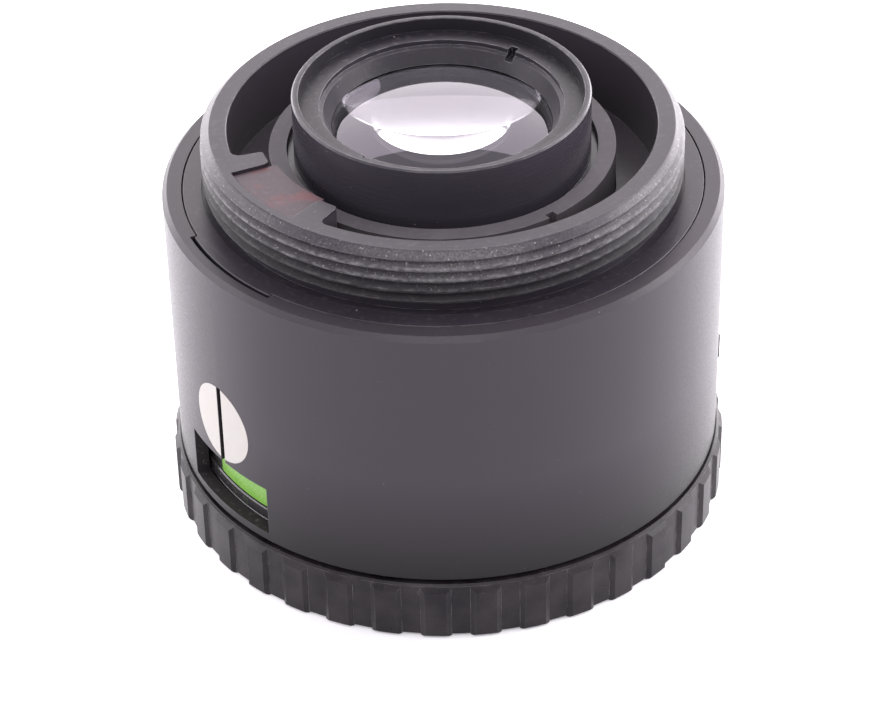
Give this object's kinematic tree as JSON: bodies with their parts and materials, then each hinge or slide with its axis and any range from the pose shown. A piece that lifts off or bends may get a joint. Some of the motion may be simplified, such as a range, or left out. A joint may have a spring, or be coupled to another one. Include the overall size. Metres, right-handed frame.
{
  "type": "enlarger lens",
  "caption": "Enlarger lens with a 39 mm screw mount, turning ribbed aperture ring, lit aperture scale window and working iris.",
  "frame": {"origin": "on the optical axis at the mounting flange's face", "axes": "+Z along the optical axis towards the enlarger, -Y towards the user's side with the scale window left of it, +X to the right"},
  "size_m": [0.047, 0.0468, 0.0373],
  "materials": {
    "anodised_black": "satin black anodised aluminium",
    "cell_black": "black anodised aluminium with bright worn edges",
    "matte_black": "matte black lacquer",
    "grey_metal": "matte grey anodised aluminium",
    "sleeve_plastic": "fine-grained satin black plastic",
    "grip_plastic": "satin black plastic",
    "scale_black": "glossy black",
    "filter_red": "translucent dusky red",
    "guide_green": "bright green acrylic",
    "coated_glass": "polished, coated",
    "steel": "turned",
    "spring_steel": "drawn wire",
    "blade_steel": "blackened spring steel",
    "brass": "turned"
  },
  "bodies": {
    "root": {"mount_ring": "anodised_black", "outer_sleeve": "sleeve_plastic", "sleeve_screws": "steel", "light_filter": "filter_red", "light_guide": "guide_green", "core_barrel": "grey_metal", "barrel_set_screws": "steel", "rear_cell": "cell_black", "rear_retaining_ring": "cell_black", "rear_element": "coated_glass", "rear_doublet_outer": "coated_glass", "rear_doublet_inner": "coated_glass", "rear_doublet_ring": "matte_black", "iris_base": "matte_black", "iris_retainer": "matte_black", "front_barrel": "anodised_black", "front_cell": "matte_black", "front_doublet_inner": "coated_glass", "front_doublet_outer": "coated_glass", "front_doublet_ring": "matte_black", "front_element": "coated_glass", "front_retaining_ring": "matte_black", "name_ring": "anodised_black", "click_bracket": "brass", "click_spring": "spring_steel"},
    "aperture": {"aperture_ring": "grip_plastic", "scale_ring": "scale_black", "drive_arm": "steel", "drive_arm_screws": "brass", "drive_pin": "steel", "iris_cam_ring": "brass"},
    "click_lever": {"click_lever": "steel", "lever_knob": "grip_plastic"},
    "click_plunger": {"click_plunger": "steel"},
    "blade_1": {"iris_blade_1": "blade_steel"},
    "blade_2": {"iris_blade_2": "blade_steel"},
    "blade_3": {"iris_blade_3": "blade_steel"},
    "blade_4": {"iris_blade_4": "blade_steel"},
    "blade_5": {"iris_blade_5": "blade_steel"}
  },
  "joints": [
    {"name": "aperture_turn", "type": "hinge", "parent": "root", "child": "aperture", "pos_m": [0, 0, -0.026], "axis": [0, 0, 1], "range_deg": [0, 64.7]},
    {"name": "click_lever_turn", "type": "hinge", "parent": "root", "child": "click_lever", "pos_m": [0, 0, -0.0212], "axis": [0, 0, 1], "range_deg": [0, 12]},
    {"name": "click_plunger_slide", "type": "slide", "parent": "root", "child": "click_plunger", "axis": [0, 0, 1], "range_m": [-0.000285, 0], "deforming": ["click_spring"]},
    {"name": "blade_1_turn", "type": "hinge", "parent": "root", "child": "blade_1", "pos_m": [0.014, 0, -0.0095], "axis": [0, 0, 1], "range_deg": [0, 26.08]},
    {"name": "blade_2_turn", "type": "hinge", "parent": "root", "child": "blade_2", "pos_m": [0.00433, 0.01331, -0.0095], "axis": [0, 0, 1], "range_deg": [0, 26.08]},
    {"name": "blade_3_turn", "type": "hinge", "parent": "root", "child": "blade_3", "pos_m": [-0.01133, 0.00823, -0.0095], "axis": [0, 0, 1], "range_deg": [0, 26.08]},
    {"name": "blade_4_turn", "type": "hinge", "parent": "root", "child": "blade_4", "pos_m": [-0.01133, -0.00823, -0.0095], "axis": [0, 0, 1], "range_deg": [0, 26.08]},
    {"name": "blade_5_turn", "type": "hinge", "parent": "root", "child": "blade_5", "pos_m": [0.00433, -0.01331, -0.0095], "axis": [0, 0, 1], "range_deg": [0, 26.08]}
  ],
  "couplings": [
    {"joint": "blade_1_turn", "follows": "aperture_turn", "ratio": 0.4},
    {"joint": "blade_2_turn", "follows": "aperture_turn", "ratio": 0.4},
    {"joint": "blade_3_turn", "follows": "aperture_turn", "ratio": 0.4},
    {"joint": "blade_4_turn", "follows": "aperture_turn", "ratio": 0.4},
    {"joint": "blade_5_turn", "follows": "aperture_turn", "ratio": 0.4},
    {"joint": "click_plunger_slide", "follows": "click_lever_turn", "m_per_rad": -0.0013369}
  ]
}
